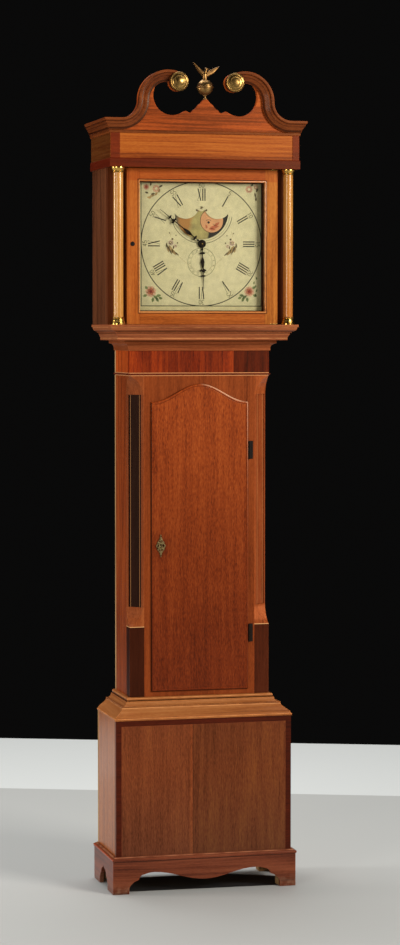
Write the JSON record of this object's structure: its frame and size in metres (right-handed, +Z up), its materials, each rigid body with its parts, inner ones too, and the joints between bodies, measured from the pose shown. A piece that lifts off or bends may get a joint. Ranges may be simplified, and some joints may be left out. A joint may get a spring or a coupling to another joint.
{
  "type": "longcase clock",
  "caption": "Tall mahogany longcase clock with swan-neck hood, painted moon dial, chamfered trunk, shaped door and rope-driven pendulum movement.",
  "frame": {"origin": "on the floor under the middle of the whole clock's width and depth", "axes": "+Z up, front of the clock faces -Y, +X to the right as seen from the front"},
  "size_m": [0.549, 0.2678, 2.2],
  "materials": {
    "mahogany": "polished",
    "dark_mahogany": "polished",
    "red_mahogany": "polished",
    "orange_mahogany": "polished",
    "golden_wood": "polished",
    "oak": "satin",
    "pine": "raw",
    "brass": "polished",
    "old_brass": "worn",
    "bell_metal": "satin",
    "steel": "satin",
    "blued_steel": "satin",
    "iron": "rough",
    "painted_dial": "satin",
    "painted_moon": "satin",
    "glass": "clear",
    "rope": "woven"
  },
  "bodies": {
    "case": {"backboard": "pine", "trunk_sides": "mahogany", "trunk_frame": "mahogany", "trunk_frieze": "red_mahogany", "trunk_mouldings": "mahogany", "corner_posts": "dark_mahogany", "base_moulding": "orange_mahogany", "base_panel": "oak", "base_sides": "oak", "crossbanding": "red_mahogany", "plinth": "mahogany", "bottom_and_foot_blocks": "pine", "seatboard_and_runners": "pine", "hinge_plates": "old_brass", "movement_frame": "brass", "dial": "painted_dial", "bell": "bell_metal", "rope_over_drums": "rope", "rope_weight_falls": "rope", "rope_return_falls": "rope"},
    "trunk_door": {"trunk_door": "mahogany", "hinge_leaves": "old_brass", "trunk_lock": "old_brass"},
    "lock_bolt": {"lock_bolt": "steel"},
    "hood": {"hood_carcass": "dark_mahogany", "hood_frieze": "orange_mahogany", "frieze_banding": "dark_mahogany", "swan_neck_cornice": "mahogany", "tympanum": "mahogany", "rosettes": "old_brass", "finial": "old_brass", "columns": "golden_wood", "column_mounts": "brass", "hood_base": "orange_mahogany", "hood_front_frame": "dark_mahogany"},
    "hood_door": {"hood_door": "orange_mahogany", "hood_glass": "glass", "hood_door_pivots": "old_brass"},
    "minute_hand": {"minute_hand": "blued_steel", "cannon_wheel": "brass"},
    "motion_wheel": {"motion_wheel": "brass"},
    "hour_hand": {"hour_hand": "blued_steel", "hour_wheel": "brass"},
    "date_hand": {"date_hand": "steel"},
    "moon_disc": {"moon_disc": "painted_moon"},
    "second_wheel": {"second_wheel": "brass"},
    "great_wheel": {"great_wheel": "brass"},
    "escape_wheel": {"escape_wheel": "brass"},
    "pendulum": {"pendulum_rod": "steel", "pendulum_bob": "brass"},
    "anchor": {"anchor": "steel"},
    "rating_nut": {"rating_nut": "brass"},
    "pin_wheel": {"pin_wheel": "brass"},
    "strike_great_wheel": {"strike_great_wheel": "brass"},
    "fly": {"fly": "brass"},
    "hammer": {"hammer": "steel"},
    "drive_weight": {"drive_weight": "iron", "rope_under_pulley": "rope"},
    "weight_pulley": {"weight_pulley": "golden_wood"},
    "counterweight": {"counterweight": "iron"}
  },
  "joints": [
    {"name": "trunk_door_hinge", "type": "hinge", "parent": "case", "child": "trunk_door", "pos_m": [0.1378, -0.0479, 0.918], "axis": [0, 0, 1], "range_deg": [0, 110]},
    {"name": "lock_bolt_slide", "type": "slide", "parent": "trunk_door", "child": "lock_bolt", "axis": [-1, 0, 0], "range_m": [0, 0.01]},
    {"name": "hood_slide", "type": "slide", "parent": "case", "child": "hood", "axis": [0, -1, 0], "range_m": [0, 0.3]},
    {"name": "hood_door_hinge", "type": "hinge", "parent": "hood", "child": "hood_door", "pos_m": [0.203, -0.0669, 1.717], "axis": [0, 0, 1], "range_deg": [0, 90]},
    {"name": "minute_turn", "type": "hinge", "parent": "case", "child": "minute_hand", "pos_m": [0.004, -0.0311, 1.726], "axis": [0, 1, 0], "continuous": true},
    {"name": "motion_wheel_turn", "type": "hinge", "parent": "case", "child": "motion_wheel", "pos_m": [0.051, -0.0141, 1.7], "axis": [0, 1, 0], "continuous": true},
    {"name": "hour_turn", "type": "hinge", "parent": "case", "child": "hour_hand", "pos_m": [0.004, -0.0341, 1.726], "axis": [0, 1, 0], "continuous": true},
    {"name": "date_turn", "type": "hinge", "parent": "case", "child": "date_hand", "pos_m": [0.004, -0.0441, 1.677], "axis": [0, 1, 0], "continuous": true},
    {"name": "moon_turn", "type": "hinge", "parent": "case", "child": "moon_disc", "pos_m": [0.004, -0.0441, 1.812], "axis": [0, 1, 0], "continuous": true},
    {"name": "second_wheel_turn", "type": "hinge", "parent": "case", "child": "second_wheel", "pos_m": [0.02903, 0.0339, 1.7425], "axis": [0, 1, 0], "continuous": true},
    {"name": "great_wheel_turn", "type": "hinge", "parent": "case", "child": "great_wheel", "pos_m": [0.051, 0.0339, 1.7], "axis": [0, 1, 0], "continuous": true},
    {"name": "escape_wheel_turn", "type": "hinge", "parent": "case", "child": "escape_wheel", "pos_m": [0.004, 0.0339, 1.764], "axis": [0, 1, 0], "continuous": true},
    {"name": "pendulum_swing", "type": "hinge", "parent": "case", "child": "pendulum", "pos_m": [0.004, 0.0901, 1.798], "axis": [0, 1, 0], "range_deg": [-2.5, 2.5]},
    {"name": "anchor_rock", "type": "hinge", "parent": "case", "child": "anchor", "pos_m": [0.004, 0.0339, 1.798], "axis": [0, 1, 0], "range_deg": [-2.5, 2.5]},
    {"name": "rating_nut_turn", "type": "hinge", "parent": "pendulum", "child": "rating_nut", "pos_m": [0.004, 0.0901, 0.742], "axis": [0, 0, 1], "continuous": true},
    {"name": "pin_wheel_turn", "type": "hinge", "parent": "case", "child": "pin_wheel", "pos_m": [-0.02103, 0.0339, 1.7425], "axis": [0, 1, 0], "continuous": true},
    {"name": "strike_great_wheel_turn", "type": "hinge", "parent": "case", "child": "strike_great_wheel", "pos_m": [-0.043, 0.0339, 1.7], "axis": [0, 1, 0], "continuous": true},
    {"name": "fly_turn", "type": "hinge", "parent": "case", "child": "fly", "pos_m": [-0.04083, 0.0339, 1.76609], "axis": [0, 1, 0], "continuous": true},
    {"name": "hammer_lift", "type": "hinge", "parent": "case", "child": "hammer", "pos_m": [-0.052, 0.0339, 1.79], "axis": [0, -1, 0], "range_deg": [0, 10], "stiffness_Nm_per_rad": 0.05, "springref_deg": -17.19},
    {"name": "weight_drop", "type": "slide", "parent": "case", "child": "drive_weight", "axis": [0, 0, -1], "range_m": [0, 1.1], "deforming": ["rope_weight_falls"]},
    {"name": "counterweight_lift", "type": "slide", "parent": "case", "child": "counterweight", "axis": [0, 0, 1], "range_m": [0, 1.1], "deforming": ["rope_return_falls"]},
    {"name": "pulley_turn", "type": "hinge", "parent": "drive_weight", "child": "weight_pulley", "pos_m": [0.004, 0.0321, 1.5056], "axis": [0, 1, 0], "continuous": true}
  ],
  "couplings": [
    {"joint": "motion_wheel_turn", "follows": "minute_turn", "ratio": -0.5},
    {"joint": "hour_turn", "follows": "minute_turn", "ratio": 0.083333},
    {"joint": "date_turn", "follows": "minute_turn", "ratio": -0.0013441},
    {"joint": "moon_turn", "follows": "minute_turn", "ratio": -0.00070621},
    {"joint": "great_wheel_turn", "follows": "second_wheel_turn", "ratio": -0.083333},
    {"joint": "escape_wheel_turn", "follows": "second_wheel_turn", "ratio": -10},
    {"joint": "anchor_rock", "follows": "pendulum_swing", "ratio": 1},
    {"joint": "strike_great_wheel_turn", "follows": "pin_wheel_turn", "ratio": -0.083333},
    {"joint": "fly_turn", "follows": "pin_wheel_turn", "ratio": -10},
    {"joint": "counterweight_lift", "follows": "weight_drop", "ratio": 1},
    {"joint": "pulley_turn", "follows": "weight_drop", "rad_per_m": 43.478}
  ]
}
